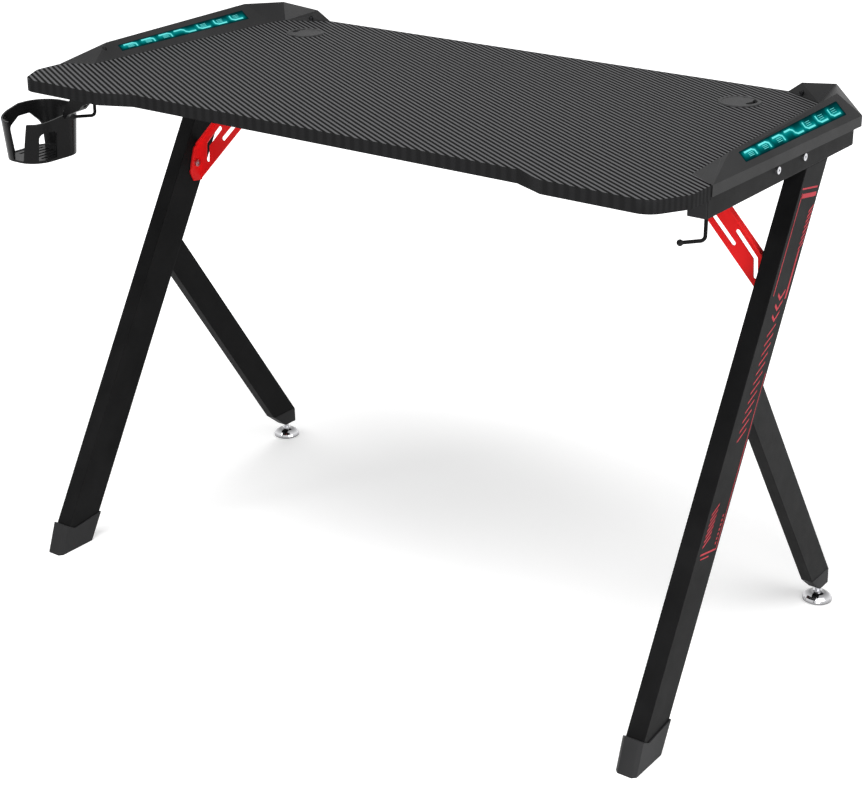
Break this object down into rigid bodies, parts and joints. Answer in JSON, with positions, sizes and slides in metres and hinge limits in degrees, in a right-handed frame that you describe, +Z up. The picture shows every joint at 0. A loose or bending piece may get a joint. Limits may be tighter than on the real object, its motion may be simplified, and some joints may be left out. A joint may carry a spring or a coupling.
{
  "type": "gaming desk",
  "caption": "Gaming desk: black striped board on slanted steel side frames with red braces, lit end bars, cable grommets, cup holder, headphone hooks and rear levellers.",
  "frame": {"origin": "on the floor, under the middle of the board", "axes": "+X to the sitter's right, +Y from the sitter to the back, +Z up"},
  "size_m": [1.2235, 0.6, 0.802],
  "materials": {
    "board": "black striped laminate on fibreboard, satin",
    "frame_black": "fine black powder coat",
    "brace_red": "smooth red powder coat",
    "plastic_black": "moulded, matte",
    "plastic_gloss": "moulded, semi-gloss",
    "window_glow": "translucent diffuser, lit cyan",
    "chrome": "polished plating",
    "bolt_steel": "zinc plated",
    "screw_dark": "blackened",
    "rubber_black": "soft, matte",
    "circuit": "white solder mask"
  },
  "bodies": {
    "frame": {"beam_bolts": "bolt_steel", "beam_nuts": "bolt_steel", "brace_bolts": "bolt_steel", "brace_left": "brace_red", "brace_right": "brace_red", "cross_beam": "frame_black", "cup_holder": "plastic_gloss", "cup_holder_screws": "screw_dark", "desktop": "board", "desktop_screws": "bolt_steel", "foot_cap_left": "plastic_black", "foot_cap_right": "plastic_black", "grommet_sleeve_left": "plastic_black", "grommet_sleeve_right": "plastic_black", "headphone_hook_left": "frame_black", "headphone_hook_right": "frame_black", "hook_tip_left": "rubber_black", "hook_tip_right": "rubber_black", "light_bar_housing_left": "plastic_gloss", "light_bar_housing_right": "plastic_gloss", "light_bar_inlet_left": "plastic_black", "light_bar_inlet_right": "plastic_black", "light_bar_led_board_left": "circuit", "light_bar_led_board_right": "circuit", "light_bar_screws": "screw_dark", "light_bar_window_inner_left": "window_glow", "light_bar_window_inner_right": "window_glow", "light_bar_window_outer_left": "window_glow", "light_bar_window_outer_right": "window_glow", "main_leg_left": "frame_black", "main_leg_right": "frame_black", "rail_end_plugs": "plastic_black", "rear_leg_block_left": "plastic_black", "rear_leg_block_right": "plastic_black", "rear_leg_left": "frame_black", "rear_leg_right": "frame_black", "side_rail_left": "frame_black", "side_rail_right": "frame_black"},
    "leveller_left": {"leveller_stud_left": "bolt_steel"},
    "leveller_foot_left": {"leveller_dome_left": "chrome", "leveller_pad_left": "rubber_black"},
    "grommet_lid_left": {"grommet_lid_left": "plastic_black"},
    "leveller_right": {"leveller_stud_right": "bolt_steel"},
    "leveller_foot_right": {"leveller_dome_right": "chrome", "leveller_pad_right": "rubber_black"},
    "grommet_lid_right": {"grommet_lid_right": "plastic_black"}
  },
  "joints": [
    {"name": "leveller_travel_left", "type": "slide", "parent": "frame", "child": "leveller_left", "axis": [0, 0, -1], "range_m": [0, 0.01125]},
    {"name": "leveller_turn_left", "type": "hinge", "parent": "leveller_left", "child": "leveller_foot_left", "pos_m": [-0.5245, 0.2765, 0.01], "axis": [0, 0, 1], "range_deg": [0, 3240]},
    {"name": "grommet_lid_turn_left", "type": "hinge", "parent": "frame", "child": "grommet_lid_left", "pos_m": [-0.3895, 0.1925, 0.772], "axis": [0, 0, 1], "continuous": true},
    {"name": "leveller_travel_right", "type": "slide", "parent": "frame", "child": "leveller_right", "axis": [0, 0, -1], "range_m": [0, 0.01125]},
    {"name": "leveller_turn_right", "type": "hinge", "parent": "leveller_right", "child": "leveller_foot_right", "pos_m": [0.5245, 0.2765, 0.01], "axis": [0, 0, 1], "range_deg": [0, 3240]},
    {"name": "grommet_lid_turn_right", "type": "hinge", "parent": "frame", "child": "grommet_lid_right", "pos_m": [0.3895, 0.1925, 0.772], "axis": [0, 0, 1], "continuous": true}
  ],
  "couplings": [
    {"joint": "leveller_turn_left", "follows": "leveller_travel_left", "rad_per_m": 5026.5},
    {"joint": "leveller_turn_right", "follows": "leveller_travel_right", "rad_per_m": 5026.5}
  ]
}
